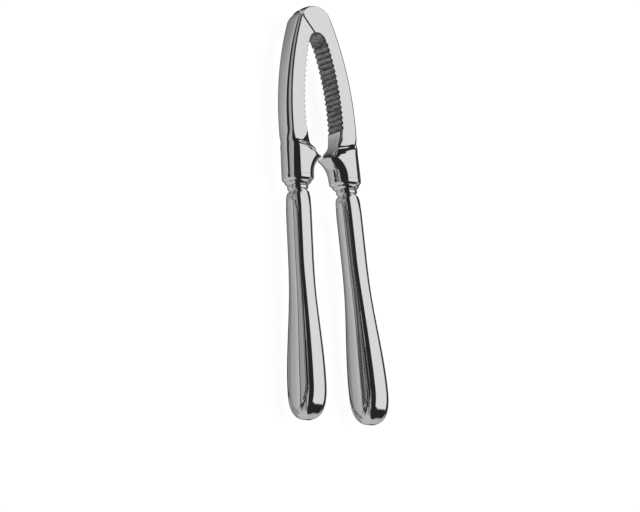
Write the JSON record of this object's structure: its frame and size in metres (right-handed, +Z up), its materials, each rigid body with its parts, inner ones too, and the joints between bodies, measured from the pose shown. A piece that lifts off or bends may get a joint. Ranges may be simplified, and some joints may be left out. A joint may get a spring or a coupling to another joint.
{
  "type": "nutcracker",
  "caption": "Lever nutcracker with two toothed jaws hinged at a round head, a long nut opening, moulded ferrules and hollow patterned handles.",
  "frame": {"origin": "under the middle of the closed nutcracker, at the height of the lowest point of the handles", "axes": "+Y along the closed nutcracker from the handle ends to the hinge, +X across the jaws towards the right jaw, +Z up from the face it lies on"},
  "size_m": [0.0486, 0.19, 0.018],
  "materials": {
    "jaw_steel": "mirror polished, teeth matte",
    "pin_steel": "polished",
    "ferrule_metal": "polished mouldings",
    "handle_metal": "polished, with fine wear",
    "filler": "matte"
  },
  "bodies": {
    "right_arm": {"right_jaw": "jaw_steel", "hinge_pin": "pin_steel", "right_ferrule": "ferrule_metal", "right_handle_outer_shell": "handle_metal", "right_handle_inner_shell": "handle_metal", "right_handle_filler": "filler"},
    "left_arm": {"left_jaw": "jaw_steel", "left_ferrule": "ferrule_metal", "left_handle_outer_shell": "handle_metal", "left_handle_inner_shell": "handle_metal", "left_handle_filler": "filler"}
  },
  "joints": [
    {"name": "jaw_hinge", "type": "hinge", "parent": "right_arm", "child": "left_arm", "pos_m": [-0.00377, 0.0895, 0.009], "axis": [0, 0, -1], "range_deg": [0, 28]}
  ]
}
